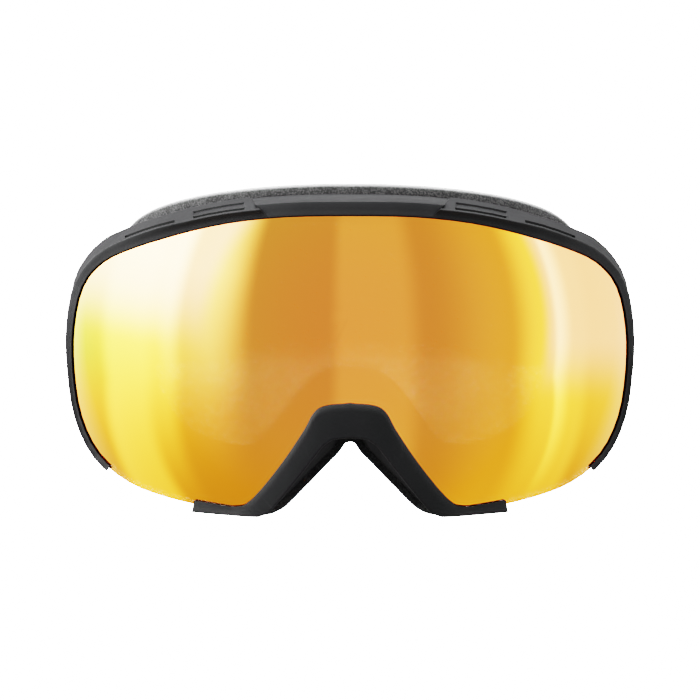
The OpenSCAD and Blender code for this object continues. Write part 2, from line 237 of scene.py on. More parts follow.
def rounded(corners, radii, steps=4):
    """Closed section with its corners rounded. corners is (corner, station, xyz)."""
    out = []
    n = len(corners)
    for i in range(n):
        p, a, b = corners[i], corners[i - 1], corners[(i + 1) % n]
        to_a, to_b = a - p, b - p
        len_a = np.linalg.norm(to_a, axis=-1, keepdims=True)
        len_b = np.linalg.norm(to_b, axis=-1, keepdims=True)
        start = p + to_a / len_a * np.minimum(radii[i], 0.45 * len_a)
        end = p + to_b / len_b * np.minimum(radii[i], 0.45 * len_b)
        for t in np.linspace(0, 1, steps):
            out.append((1 - t) ** 2 * start + 2 * t * (1 - t) * p + t ** 2 * end)
    return np.array(out)


def filled(points, i, count):
    """The closed section with count more points put evenly between points i and i + 1."""
    t = (np.arange(count) + 1)[:, None, None] / (count + 1)
    between = points[i] * (1 - t) + points[(i + 1) % len(points)] * t
    return np.concatenate([points[:i + 1], between, points[i + 1:]])


def mesh_object(name, points, faces, sharp=SHARP):
    """A smooth-shaded piece, with its edges sharp from an angle in degrees."""
    mesh = bpy.data.meshes.new(name)
    mesh.from_pydata([tuple(p) for p in points], [], faces)
    with edited(mesh) as bm:
        bmesh.ops.remove_doubles(bm, verts=bm.verts, dist=MERGE)
        bmesh.ops.recalc_face_normals(bm, faces=bm.faces)
        caps = [f for f in bm.faces if len(f.verts) > 4]
        bmesh.ops.triangulate(bm, faces=caps, ngon_method="EAR_CLIP")
    mesh.shade_smooth()
    mesh.set_sharp_from_angle(angle=math.radians(sharp))
    return placed(name, mesh)


@contextlib.contextmanager
def edited(mesh):
    """The mesh as a bmesh, written back at the end of the with block."""
    bm = bmesh.new()
    bm.from_mesh(mesh)
    yield bm
    bm.to_mesh(mesh)
    bm.free()


def tube_faces(rows, around, base=0):
    """Quads between closed rows of points, the first of which is point number base."""
    return [(base + i * around + k, base + i * around + (k + 1) % around,
             base + (i + 1) * around + (k + 1) % around, base + (i + 1) * around + k)
            for i in range(rows - 1) for k in range(around)]


def capped_tube(rows, around, base=0):
    """tube_faces, and a face over each end."""
    ends = [tuple(base + row * around + k for k in range(around)) for row in (0, rows - 1)]
    return tube_faces(rows, around, base) + ends


def end_rings(section, onward, radius, steps=4):
    """Rings that round off an open loft's end, from its last full section outwards."""
    edge = np.roll(section, -1, 0) - np.roll(section, 1, 0)
    edge /= np.maximum(np.linalg.norm(edge, axis=1), 1e-9)[:, None]
    inward = np.cross(edge, onward)
    centre = section.mean(0)
    if np.einsum("ij,ij->i", inward, centre - section).mean() < 0:
        inward = -inward
    angles = np.linspace(0, math.pi / 2, steps + 1)[1:]
    return [section + inward * radius * (1 - math.cos(a)) + onward * radius * math.sin(a)
            for a in angles]


def loft(name, sections, closed=False, end_radius=0.0, sharp=SHARP):
    """A piece through sections of (point, station, xyz), closed into a ring or with round ends."""
    rows = list(np.swapaxes(np.asarray(sections), 0, 1))
    m = len(rows[0])
    if not closed:
        back = rows[0].mean(0) - rows[1].mean(0)
        onward = rows[-1].mean(0) - rows[-2].mean(0)
        back /= np.linalg.norm(back)
        onward /= np.linalg.norm(onward)
        rows[0] = rows[0] - back * end_radius
        rows[-1] = rows[-1] - onward * end_radius
        rows = (end_rings(rows[0], back, end_radius)[::-1] + rows
                + end_rings(rows[-1], onward, end_radius))
    n = len(rows)
    last = (n - 1) * m
    faces = tube_faces(n, m)
    if closed:
        faces += [(last + k, last + (k + 1) % m, (k + 1) % m, k) for k in range(m)]
    else:
        faces += [tuple(range(m - 1, -1, -1)), tuple(range(last, n * m))]
    return mesh_object(name, np.vstack(rows), faces, sharp)


FLAT = math.radians(1)  # faces of a CAD copy that bend less than this are one


def cad_copy(name, node, width, segments=3, angle=30):
    """A copy of a CAD node's mesh that stands for it, with its edges bevelled from an angle."""
    mesh = frame["nodes"][node].data.copy()
    mesh.name = name
    with edited(mesh) as bm:
        bmesh.ops.remove_doubles(bm, verts=bm.verts, dist=MERGE)
        bmesh.ops.dissolve_limit(bm, angle_limit=FLAT, verts=bm.verts, edges=bm.edges)
    piece = placed(name, mesh)
    bevel = piece.modifiers.new("soft edges", "BEVEL")
    bevel.width = width
    bevel.segments = segments
    bevel.limit_method = "ANGLE"
    bevel.angle_limit = math.radians(angle)
    mesh.shade_smooth()
    mesh.set_sharp_from_angle(angle=math.radians(SHARP_COPY))
    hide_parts(node)
    return piece


def finished(piece, material, body=None):
    """Gives the piece its material, and the body that it rides on."""
    piece.data.materials.clear()
    piece.data.materials.append(material)
    if body:
        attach(piece, body)
    return piece


# ---------------- materials


class Nodes:
    """Short calls that add shader nodes to a tree."""

    def __init__(self, tree):
        self.tree = tree

    def node(self, kind, inputs=None, **settings):
        made = self.tree.nodes.new("ShaderNode" + kind)
        for key, value in settings.items():
            setattr(made, key, value)
        for key, value in (inputs or {}).items():
            self.put(value, made.inputs[key])
        return made

    def put(self, value, socket):
        if isinstance(value, bpy.types.NodeSocket):
            self.tree.links.new(value, socket)
        else:
            socket.default_value = value

    def place(self):
        return self.node("TexCoord").outputs["Object"]

    def uv(self):
        return self.node("TexCoord").outputs["UV"]

    def noise(self, scale, detail, rough=0.5):
        made = self.node("TexNoise", {"Vector": self.place(), "Scale": scale,
                                      "Detail": detail, "Roughness": rough})
        return made.outputs["Fac"]

    def cells(self, scale):
        made = self.node("TexVoronoi", {"Vector": self.place(), "Scale": scale})
        return made.outputs["Distance"]

    def maths(self, operation, a, b=0.0):
        return self.node("Math", {0: a, 1: b}, operation=operation).outputs[0]

    def add(self, a, b):
        return self.maths("ADD", a, b)

    def times(self, a, b):
        return self.maths("MULTIPLY", a, b)

    def remap(self, value, low, high, to_low=0.0, to_high=1.0, smooth=False):
        made = self.node("MapRange", {"Value": value, "From Min": low, "From Max": high,
                                      "To Min": to_low, "To Max": to_high})
        made.interpolation_type = "SMOOTHSTEP" if smooth else "LINEAR"
        return made.outputs["Result"]

    def mix(self, share, a, b):
        made = self.node("Mix", data_type="RGBA")
        self.put(share, made.inputs["Factor"])
        self.put(a, made.inputs["A"])
        self.put(b, made.inputs["B"])
        return made.outputs["Result"]

    def ramp(self, value, stops):
        made = self.node("ValToRGB", {"Fac": value})
        points = made.color_ramp.elements
        while len(points) < len(stops):
            points.new(0.5)
        for point, (place, colour) in zip(points, stops):
            point.position = place
            point.color = colour
        return made.outputs["Color"]

    def bump(self, height, distance, strength=1.0, under=None):
        made = self.node("Bump", {"Height": height, "Distance": distance, "Strength": strength})
        if under is not None:
            self.put(under, made.inputs["Normal"])
        return made.outputs["Normal"]


class Shader(Nodes):
    """A material with a Principled BSDF."""

    def __init__(self, name, **constants):
        self.material = bpy.data.materials.new(name)
        self.material.use_nodes = True
        super().__init__(self.material.node_tree)
        self.bsdf = self.tree.nodes["Principled BSDF"]
        for key, value in constants.items():
            self.bsdf.inputs[key.replace("_", " ")].default_value = value

    def set(self, **links):
        for key, value in links.items():
            self.put(value, self.bsdf.inputs[key.replace("_", " ")])
        return self.material


def grey(value, tint=0.0):
    return (value, value * (1 + 0.2 * tint), value * (1 + tint), 1.0)


def moulded_plastic(name, level, roughness, shine):
    """Dark moulded plastic: fine spark-eroded grain, slight mottling and paler rubbed edges."""
    s = Shader(name, Specular_IOR_Level=shine)
    fine = s.noise(1900, 2.0)
    broad = s.noise(45, 4.0)
    edges = s.remap(s.node("NewGeometry").outputs["Pointiness"], 0.52, 0.62)
    rubbed = s.times(edges, s.remap(s.noise(160, 3.0), 0.35, 0.7))
    colour = s.mix(s.remap(broad, 0.3, 0.7), grey(level * 0.9, 0.04), grey(level * 1.1, 0.04))
    colour = s.mix(s.times(rubbed, 0.35), colour, grey(level * 2.4, 0.03))
    rough = s.remap(s.noise(130, 4.0), 0.3, 0.7, roughness - 0.05, roughness + 0.06)
    return s.set(Base_Color=colour, Roughness=rough, Normal=s.bump(fine, 0.05 * MM, 0.35))


def foam_material(name, pit_shade_and_mottle, light, cell_scale, depth):
    """Open-cell foam: pores as small pits with painted shade in them, lighter walls between them,
    and a random mottle.
    """
    s = Shader(name, Roughness=0.95, Specular_IOR_Level=0.2, Sheen_Weight=0.2,
               Sheen_Roughness=0.6)
    cells = s.cells(cell_scale)
    fine = s.cells(cell_scale * 2.3)
    mottled = s.noise(cell_scale * 0.25, 4.0)
    # painted shade: the colour darkens where the cells sink into pits, over a random mottle
    share = s.add(s.remap(cells, 0.1, 0.75), s.remap(mottled, 0.3, 0.7, -0.25, 0.3))
    colour = s.mix(share, grey(light), grey(pit_shade_and_mottle))
    height = s.add(s.times(cells, -1.0), s.times(fine, -0.4))
    return s.set(Base_Color=colour, Normal=s.bump(height, depth, 0.9))


def fleece_material():
    """Short brushed fleece: tangled fibres over a soft nap, with a pale sheen."""
    s = Shader("fleece", Roughness=1.0, Specular_IOR_Level=0.15, Sheen_Weight=0.25,
               Sheen_Roughness=0.5, Sheen_Tint=(0.85, 0.85, 0.88, 1.0))
    fibres = s.noise(2600, 5.0, rough=0.75)
    tufts = s.noise(620, 3.0)
    share = s.remap(s.add(fibres, tufts), 0.8, 1.25)
    colour = s.mix(share, grey(0.035), grey(0.08))
    lumps = s.bump(tufts, 0.5 * MM, 0.7)
    return s.set(Base_Color=colour, Normal=s.bump(fibres, 0.3 * MM, 0.8, lumps))


CORD_PITCH = 1.05 * MM
PICK_PITCH = 0.45 * MM
STRIPE_FROM = 13.8 * MM, 14.1 * MM  # pale stripe near each edge, from the strap's middle
STRIPE_TO = 15.9 * MM, 16.2 * MM


def webbing_material():
    """Elastic webbing: cords along the strap crossed by fine picks, woven denser at its edges,
    with painted shade in the hollows between the threads.
    """
    s = Shader("webbing", Roughness=0.85, Specular_IOR_Level=0.25, Sheen_Weight=0.35,
               Sheen_Roughness=0.45)
    uv = s.node("SeparateXYZ", {0: s.uv()})
    across, along = uv.outputs["X"], uv.outputs["Y"]
    cords = s.maths("SINE", s.times(across, 2 * math.pi / CORD_PITCH))
    shift = s.times(s.maths("SIGN", cords), PICK_PITCH / 4)
    picks = s.maths("SINE", s.times(s.add(along, shift), 2 * math.pi / PICK_PITCH))
    height = s.add(s.maths("ABSOLUTE", cords), s.times(picks, 0.35))
    fuzz = s.noise(3000, 3.0)
    height = s.add(height, s.times(fuzz, 0.4))
    aside = s.maths("ABSOLUTE", across)
    stripe = s.times(s.remap(aside, *STRIPE_FROM), s.remap(aside, *STRIPE_TO, 1.0, 0.0))
    # painted shade: the threads' tops are lighter and the hollows between cords and picks darker,
    # with random fuzz
    thread = s.mix(s.remap(height, 0.2, 1.6), grey(0.016), grey(0.05))
    colour = s.mix(s.times(stripe, 0.8), thread, grey(0.2))
    return s.set(Base_Color=colour, Normal=s.bump(height, 0.12 * MM, 0.8))


def mirror_lens_material():
    """Gold mirror coating under a hard coat, its tint shifting with the viewing angle, and painted
    reflection of the studio's light: greener yellow on the upper left, paler and pinker towards
    the top.
    """
    s = Shader("mirror lens", Metallic=1.0, Coat_Weight=0.1, Coat_Roughness=0.04,
               Coat_IOR=1.5, Alpha=0.95)
    facing = s.node("LayerWeight", {"Blend": 0.5}).outputs["Facing"]
    middle = [(0.0, (1.0, 0.325, 0.088, 1))]
    grazing = [(0.7, (1.0, 0.6, 0.25, 1)), (1.0, (1.0, 0.85, 0.6, 1))]
    coating_tint = s.ramp(facing, middle + [
        (0.08, (1.0, 0.35, 0.075, 1)), (0.2, (1.0, 0.34, 0.035, 1)),
        (0.42, (1.0, 0.35, 0.03, 1))] + grazing)
    # thin: a greener yellow tint, painted as reflection of the studio's light on the lens's upper
    # left
    thin = s.ramp(facing, middle + [
        (0.1, (0.95, 0.4, 0.085, 1)), (0.2, (0.9, 0.36, 0.035, 1)),
        (0.42, (0.45, 0.36, 0.025, 1))] + grazing)
    place = s.node("SeparateXYZ", {0: s.place()})
    x, z = place.outputs["X"], place.outputs["Z"]
    to_side = s.remap(x, -30 * MM, 30 * MM, 1.0, 0.0, smooth=True)
    side = s.times(to_side, s.remap(z, -22 * MM, 0.0, smooth=True))
    leaning = s.add(z, s.times(x, 0.14))
    past = s.add(facing, s.times(to_side, 0.1))
    # pale: painted reflection of light from above, mixing the tint towards pale pink at the top
    # where the lens is seen slantwise
    pale = s.times(s.remap(leaning, -9 * MM, 13 * MM, smooth=True),
                   s.remap(past, 0.19, 0.225, smooth=True))
    tint = s.mix(side, coating_tint, thin)
    tint = s.mix(pale, tint, s.mix(0.5, tint, (1.0, 0.36, 0.23, 1)))
    uneven = s.remap(s.noise(16, 2.0), 0.35, 0.65, 0.05, 0.075)
    return s.set(Base_Color=tint, Roughness=uneven)


def clear_lens_material():
    """Warm clear plastic with a slight haze."""
    s = Shader("inner lens", Transmission_Weight=0.85, IOR=1.5, Alpha=0.35,
               Base_Color=(0.95, 0.9, 0.82, 1))
    haze = s.remap(s.noise(30, 3.0), 0.3, 0.7, 0.04, 0.1)
    return s.set(Roughness=haze)


def steel_material():
    """Turned steel with fine tool marks."""
    s = Shader("pin steel", Metallic=1.0)
    turned = s.noise(2200, 2.0)
    colour = s.mix(turned, grey(0.45), grey(0.62))
    return s.set(Base_Color=colour, Roughness=s.remap(turned, 0.3, 0.7, 0.25, 0.4),
                 Normal=s.bump(turned, 0.02 * MM, 0.4))


def silicone_material():
    """Dark silicone, with dust that dulls its shine."""
    s = Shader("silicone", Specular_IOR_Level=0.5, Coat_Weight=0.25)
    dust = s.noise(240, 4.0)
    colour = s.mix(s.remap(dust, 0.4, 0.7), grey(0.012), grey(0.03))
    return s.set(Base_Color=colour, Roughness=s.remap(dust, 0.3, 0.7, 0.22, 0.42))


def thread_material():
    """Twisted sewing thread."""
    s = Shader("stitching", Roughness=0.7, Sheen_Weight=0.3)
    twist = s.noise(5200, 2.0)
    return s.set(Base_Color=s.mix(twist, grey(0.05), grey(0.15)),
                 Normal=s.bump(twist, 0.05 * MM, 0.6))


RIM = moulded_plastic("rim plastic", 0.017, 0.55, 0.16)
FRAME = moulded_plastic("frame plastic", 0.017, 0.58, 0.2)
ARM = moulded_plastic("arm plastic", 0.015, 0.42, 0.35)
FIRM_FOAM = foam_material("firm foam", 0.02, 0.06, 1700, 0.15 * MM)
SOFT_FOAM = foam_material("soft foam", 0.22, 0.32, 2400, 0.12 * MM)
MESH_FOAM = foam_material("filter foam", 0.03, 0.3, 900, 0.5 * MM)
GASKET_FOAM = foam_material("gasket foam", 0.01, 0.03, 1800, 0.15 * MM)
FLEECE = fleece_material()
WEBBING = webbing_material()
MIRROR = mirror_lens_material()
CLEAR = clear_lens_material()
STEEL = steel_material()
SILICONE = silicone_material()
THREAD = thread_material()

# ---------------- lenses

RINGS = (120, 90, 90)  # points from brow to widest, to lowest, to nose
lens_ring = ring(lens_half, RINGS)
foam_ring = ring(foam_half, RINGS)
eye_ring = ring(eye_half, RINGS)


def ring_normals(outline):
    """Outward unit normals of a closed outline."""
    around = np.vstack([outline[-2:], outline, outline[:2]])
    return left_of(around)[2:-2]


LENS_BEVEL = 0.18 * MM
DOME_ROWS = 46
DOME_POWER = 0.9  # rows crowd towards the edge


def lens_dome(name, outline, front_r, back_r):
    """A spherical lens: concentric rows of the outline on both faces, with a bevelled edge."""
    shares = np.sin(np.linspace(0, math.pi / 2, DOME_ROWS)[1:]) ** DOME_POWER
    inset = outline - ring_normals(outline) * LENS_BEVEL
    rows = [HUB + (inset - HUB) * s for s in shares]
    layers = [on_ball(p, front_r) for p in rows]
    layers.append(on_ball(outline, front_r - LENS_BEVEL))
    layers.append(on_ball(outline, back_r + LENS_BEVEL))
    layers += [on_ball(p, back_r) for p in rows[::-1]]
    n = len(outline)
    points = np.vstack(layers)
    faces = tube_faces(len(layers), n)
    hub = np.array([HUB])
    centres = np.vstack([on_ball(hub, r) for r in (front_r, back_r)])
    front, rear = len(points), len(points) + 1
    last = (len(layers) - 1) * n
    faces += [(front, k, (k + 1) % n) for k in range(n)]
    faces += [(rear, last + k, last + (k + 1) % n) for k in range(n)]
    return mesh_object(name, np.vstack([points, centres]), faces)


OUTER_T = 1.4 * MM
GASKET_INSET = 4.4 * MM
GASKET_W = 4.4 * MM
GASKET_ROOM = 0.1 * MM  # between the gasket and each lens
INNER_FRONT = LENS_CENTRE_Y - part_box("inner_lens")[0].y
INNER_T = 0.8 * MM
lens_normals = ring_normals(lens_ring)

outer_lens = lens_dome("outer_lens_shell", lens_ring, LENS_R, LENS_R - OUTER_T)
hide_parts("outer_lens")
finished(outer_lens, MIRROR, "frame")

inner_outline = lens_ring - lens_normals * GASKET_INSET
inner_lens = lens_dome("inner_lens_shell", inner_outline, INNER_FRONT, INNER_FRONT - INNER_T)
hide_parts("inner_lens")
finished(inner_lens, CLEAR, "frame")


def gasket():
    """The foam gasket between the two lenses."""
    front_r, back_r = LENS_R - OUTER_T - GASKET_ROOM, INNER_FRONT + GASKET_ROOM
    outer = lens_ring - lens_normals * GASKET_INSET
    inner = lens_ring - lens_normals * (GASKET_INSET + GASKET_W)
    corners = np.array([on_ball(outer, front_r), on_ball(inner, front_r),
                        on_ball(inner, back_r), on_ball(outer, back_r)])
    piece = loft("lens_gasket_ring", rounded(corners, [0.5 * MM] * 4), closed=True)
    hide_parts("lens_gasket")
    finished(piece, GASKET_FOAM, "frame")


gasket()

# ---------------- rim

GROOVE_GAP = 0.3 * MM
LIP_COVER = 1.4 * MM  # over the lens's edge at the nose
LIP_AT, LIP_COVERS = [60, 85, 120, 150], [1.4, 0.7, 0.5, 0.9]
LIP_R = LENS_R + 0.1 * MM  # the lip almost touches the lens
LIP_EDGE_R = LENS_R + 0.45 * MM
FRONT_R = LENS_R + 2.4 * MM
SEAT_R = LENS_R - OUTER_T - GROOVE_GAP
SHELF_IN = 1.2 * MM
SHELF_DEPTH = 6.5 * MM
SHELF_LEAST_OUT = 0.2 * MM
BOW_OUT, BOW_SHARE = 0.1 * MM, 0.28  # where the front face bows, and its share of the rise
ARM_DEPTH = 11 * MM
ARM_T = 1.6 * MM
BROW_DEPTH = 17 * MM
BROW_T = 0.8 * MM
ROUND_STEPS = 4
BROW_FRONT_R = LENS_R + 1.7 * MM
BROW_FRONT_OUT, BROW_REAR_OUT = 3.0 * MM, 4.4 * MM
# the arms' front and rear edges outside the lens, and their front face above the lens's sphere,
# at distances along the rim from the brow's middle, all in millimetres
ARM_FRONT_OUT = [30, 50, 60, 75, 86, 106, 120, 160], [1.4, 1.7, 2.2, 2.3, 1.9, 1.6, 1.3, 1.1]
ARM_REAR_OUT = [30, 76, 85, 95, 108, 135, 165], [5.2, 5.2, 4.0, 2.6, 2.4, 2.1, 1.6]
ARM_RISE = [60, 90], [2.4, 1.5]
SEAM_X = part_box("left_rim_arm")[0].x - 0.6 * MM  # the seam at the lip, and how it leans
SEAM_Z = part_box("brow_rim")[0].z + 1.4 * MM
SEAM_SLOPE = 1.05
SEAM_GAP = 0.015 * MM  # from the seam to each of the two pieces
ARM_SPARE, BROW_SPARE = 4 * MM, 6 * MM  # run past the seam, before they are cut
ARM_REACH = 150 * MM
ARM_END_ROOM = 0.35 * MM  # between an arm's lowest point and the CAD arm's
ARM_STATIONS, ARM_ROWS, BROW_STATIONS = 1200, 620, 110

half_along = distances(lens_half)
half_normals = left_of(lens_half)


def lens_station(distance):
    """Points and outward normals of the lens outline at distances from the brow's middle."""
    p = sampled(lens_half, half_along, distance)
    n = sampled(half_normals, half_along, distance)
    return p, n / np.linalg.norm(n, axis=1)[:, None]


def distance_at(x):
    """Distance along the rim at which the brow reaches x."""
    brow = slice(0, 200)
    return np.interp(x, lens_half[brow, 0], half_along[brow])


def resampled(section, along, wanted):
    """A section of (point, station, xyz) with its stations moved to the wanted distances."""
    return np.array([sampled(row, along, wanted) for row in section])


def rim_corners(distance, front_out, rear_out, rear_depth, rear_t, front_r):
    """Corners of the rim's section: groove, lip, bowed front face, outer wall and shelf."""
    p, n = lens_station(distance)
    lens_y = sphere_y(p, LENS_R)
    lip = -np.interp(distance / MM, LIP_AT, LIP_COVERS) * MM
    bow_r = (1 - BOW_SHARE) * LIP_EDGE_R + BOW_SHARE * front_r

    def out(offset):
        return p + n * np.reshape(offset, (-1, 1))

    def on_sphere(offset, radius):
        return on_ball(out(offset), radius)

    def at_depth(offset, depth):
        return in_space(out(offset), lens_y + depth)

    return np.array([
        on_sphere(GROOVE_GAP, LIP_R), on_sphere(lip, LIP_R), on_sphere(lip, LIP_EDGE_R),
        on_sphere(BOW_OUT, bow_r), on_sphere(front_out, front_r),
        at_depth(rear_out, rear_depth), at_depth(rear_out - rear_t, rear_depth),
        at_depth(np.maximum(front_out - ARM_T, SHELF_LEAST_OUT), SHELF_DEPTH),
        at_depth(-SHELF_IN, SHELF_DEPTH), on_sphere(-SHELF_IN, SEAT_R),
        on_sphere(GROOVE_GAP, SEAT_R)])


RIM_RADII = np.array([0.1, 0.1, 0.2, 0.8, 0.35, 0.3, 0.25, 0.3, 0.3, 0.1, 0.1]) * MM
FLARE_AT = 5 * ROUND_STEPS - 1  # section point where the flared outer wall begins
FLARE_LINES = 34
SLOT_END = 0.25  # millimetres over which a slot comes to its full depth

# Air slots in the flare: ends as distances along the rim in millimetres, then edges as shares
# of the flare's width from the front, each with the depth there in millimetres. The first has
# a ramp behind its slit.
SLOTS = [
    ((32.3, 48.3), ((0.09, 0), (0.095, 3), (0.27, 3), (0.275, 0.12), (0.66, 0.55), (0.665, 0))),
    ((54.4, 70.8), ((0.09, 0), (0.095, 3), (0.3, 3), (0.305, 0)))]
SHARES = np.unique(np.concatenate([np.linspace(0, 1, FLARE_LINES)[1:-1]]
                                  + [[share for share, _ in edges] for _, edges in SLOTS]))


def between(a, b, shares):
    """Points of (share, station, xyz) between two rows of points."""
    return a + (b - a) * shares[:, None, None]


def sliced(piece, sign, gap):
    """Cuts a piece at the slanted seam, and closes it there. A negative gap keeps the brow."""
    keeps = 1 if gap > 0 else -1
    slope = Vector((-sign * keeps, 0, SEAM_SLOPE * keeps)).normalized()
    at = Vector((sign * (SEAM_X + gap), 0, SEAM_Z))
    with edited(piece.data) as bm:
        made = bmesh.ops.bisect_plane(bm, geom=bm.verts[:] + bm.edges[:] + bm.faces[:],
                                      plane_co=at, plane_no=slope, clear_outer=True)
        loop = [e for e in made["geom_cut"] if isinstance(e, bmesh.types.BMEdge)]
        caps = bmesh.ops.holes_fill(bm, edges=loop)["faces"]
        bmesh.ops.triangulate(bm, faces=caps, ngon_method="EAR_CLIP")
    piece.data.set_sharp_from_angle(angle=math.radians(SHARP))


def rim_arm(side, sign):
    """One side of the rim with its air slots, from the seam down to its lower corner."""
    node = f"{side}_rim_arm"
    low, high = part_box(node)
    inner_x = low.x if sign > 0 else -high.x
    start = distance_at(inner_x) - ARM_SPARE
    stations = np.linspace(start, start + ARM_REACH, ARM_STATIONS)
    mm = stations / MM
    front_out = np.interp(mm, *ARM_FRONT_OUT) * MM
    rear_out = np.interp(mm, *ARM_REAR_OUT) * MM
    front_r = LENS_R + np.interp(mm, *ARM_RISE) * MM
    corners = rim_corners(stations, front_out, rear_out, ARM_DEPTH, ARM_T, front_r)
    section = rounded(corners, RIM_RADII, ROUND_STEPS)
    flare = between(section[FLARE_AT], section[FLARE_AT + 1], SHARES)
    _, n = lens_station(stations)
    for (first, last), edges in SLOTS:
        shares, depths = zip(*edges)
        depth = np.interp(SHARES, shares, depths, 0, 0) * MM
        inside = np.clip(np.minimum(mm - first, last - mm) / SLOT_END, 0, 1)
        flare -= depth[:, None, None] * inside[:, None] * in_space(n, 0.0)
    section = np.concatenate([section[:FLARE_AT + 1], flare, section[FLARE_AT + 1:]])
    lowest = section[..., 2].min(0)
    end = stations[np.nonzero(lowest > low.z + ARM_END_ROOM)[0][-1]]
    section = resampled(section, stations, np.linspace(start, end, ARM_ROWS))
    section[..., 0] *= sign
    piece = loft(f"{side}_rim_arm_shell", section, end_radius=0.25 * MM)
    sliced(piece, sign, SEAM_GAP)
    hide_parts(node)
    return finished(piece, RIM, "frame")


def brow_rim():
    """The rim's lower middle section, between the two seams."""
    end = distance_at(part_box("brow_rim")[1].x) + BROW_SPARE
    stations = np.linspace(0, end, BROW_STATIONS)
    corners = rim_corners(stations, BROW_FRONT_OUT, BROW_REAR_OUT, BROW_DEPTH, BROW_T,
                          BROW_FRONT_R)
    section = rounded(corners, RIM_RADII, ROUND_STEPS)
    mirrored = section[:, :0:-1] * [-1, 1, 1]
    piece = loft("brow_rim_shell", np.concatenate([mirrored, section], 1), end_radius=0.1 * MM)
    sliced(piece, 1, -SEAM_GAP)
    sliced(piece, -1, -SEAM_GAP)
    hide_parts("brow_rim")
    return finished(piece, RIM, "frame")


def softened(points, times=3):
    """Cuts an open polyline's corners, so that they become smooth."""
    for _ in range(times):
        a, b = points[:-1], points[1:]
        cut = np.stack([0.75 * a + 0.25 * b, 0.25 * a + 0.75 * b], 1).reshape(-1, 2)
        points = np.vstack([points[:1], cut[1:-1], points[-1:]])
    return points


def angle_table(curve, hub):
    """The angles of a curve's points round a hub, in order, and their distances from it."""
    away = curve - hub
    angles = np.arctan2(away[:, 1], away[:, 0])
    order = np.argsort(angles)
    return angles[order], np.hypot(*away.T)[order]


NOSE_END_ROOM = 1.2 * MM  # walls this near the feet's ends aren't part of the arch
FOOT_RUN, FOOT_RISE = 3 * MM, 0.2 * MM  # the lower curve goes on past each foot
FOOT_ROOM = 0.4 * MM
NOSE_BEFORE = 160  # outline points before the lowest one, from which it runs
NOSE_ROWS = 260
FOOT_AHEAD, FOOT_SPAN, FOOT_POWER = math.radians(4.05), math.radians(22), 1.5
NOSE_GROOVE, NOSE_CROWN = 1.75 * MM, 1.4 * MM  # their places below the upper curve
NOSE_CROWN_R = LENS_R + 1.1 * MM
NOSE_REAR_R = SEAT_R - 2.2 * MM
NOSE_MOST = 0.8  # share of the strip that a place may lie across
NOSE_RADII = np.array([0.1, 0.1, 0.2, 0.9, 0.7, 0.5, 0.3]) * MM


def nose_bridge():
    """The arch over the nose and its two feet: a strip of the rim's sphere between two curves."""
    end_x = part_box("nose_bridge")[1].x
    walls = side_walls("nose_bridge", 1)
    walls = walls[(walls[:, 0] >= 0) & (walls[:, 0] < end_x - NOSE_END_ROOM)]
    walls = walls[np.argsort(walls[:, 0])]
    walls[0, 0] = 0
    under = softened(np.vstack([walls, [[end_x + FOOT_RUN, walls[-1, 1] + FOOT_RISE]]]))
    nose = int(lens_half[:, 1].argmin()) - NOSE_BEFORE
    upper = lens_half[nose:] - half_normals[nose:] * LIP_COVER
    under_angles, under_r = angle_table(under, NOSE_HUB)
    upper_angles, upper_r = angle_table(upper, NOSE_HUB)
    foot = np.array([end_x - FOOT_ROOM, walls[-1, 1]]) - NOSE_HUB
    first = math.atan2(foot[1], foot[0])
    angles = np.linspace(first, math.pi / 2, NOSE_ROWS)
    # the feet end square to the lens edge, so the upper curve runs a little ahead there
    ahead = FOOT_AHEAD * np.clip(1 - (angles - first) / FOOT_SPAN, 0, 1) ** FOOT_POWER

    def on_ray(at, known_angles, known_r):
        return NOSE_HUB + (np.column_stack([np.cos(at), np.sin(at)])
                           * np.interp(at, known_angles, known_r)[:, None])

    a = on_ray(angles + ahead, upper_angles, upper_r)
    b = on_ray(angles, under_angles, under_r)
    reach = np.linalg.norm(a - b, axis=1)[:, None]

    def across(distance):
        """Places that far below the upper curve."""
        return a + (b - a) * np.minimum(distance / reach, NOSE_MOST)

    groove, crown = across(NOSE_GROOVE), across(NOSE_CROWN)
    corners = np.array([
        on_ball(groove, LIP_R), on_ball(a, LIP_R), on_ball(a, LIP_EDGE_R),
        on_ball(crown, NOSE_CROWN_R), on_ball(b, FRONT_R), on_ball(b, NOSE_REAR_R),
        on_ball(groove, NOSE_REAR_R)])
    section = rounded(corners, NOSE_RADII, 5)
    mirrored = section[:, :-1] * [-1, 1, 1]
    joined = np.concatenate([mirrored, section[:, ::-1]], 1)
    piece = loft("nose_bridge_shell", joined, end_radius=0.4 * MM)
    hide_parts("nose_bridge")
    return finished(piece, RIM, "frame")


for side, sign in (("left", 1), ("right", -1)):
    rim_arm(side, sign)
brow_rim()
nose_bridge()

# ---------------- chassis and filters

FOAM_T, SOFT_FAR, FLEECE_FAR = (
    -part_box(node)[0].y for node in ("firm_face_foam", "soft_face_foam", "fleece_lining"))
GLUE = 0.3 * MM
FLANGE_T = 1.8 * MM
OVERHANG = 2.6 * MM
WALL_OUT = 1.5 * MM
WALL_IN = 3.8 * MM
BEND_DEPTH = 7 * MM
INNER_BEND = 1 * MM  # how much deeper the wall's inner face bends
EDGE_T = 0.9 * MM  # of the flange where the wall meets it
INNER_SHARE = 0.16  # of the way from the flange's edge to the eye opening
CHASSIS_RADII = np.array([0.3, 4.0, 0.4, 0.3, 0.5, 0.5, 3.0, 3.0, 0.3]) * MM
CHASSIS_STEPS = 5
WALL_ROWS = 12
edge_y = sphere_y(lens_ring, LENS_R)
foam_normals = ring_normals(foam_ring)

FILTERS = [f"{side}_{place}_filter" for side in ("left", "right")
           for place in ("top", "low", "nose")]
VENT_ROOM = 0.02 * MM  # between a filter and its vent's edge
VENT_CORNER = 1.6 * MM
VENT_REACH = 4 * MM  # of the cutter past each face of the wall
VENT_ROWS = 60


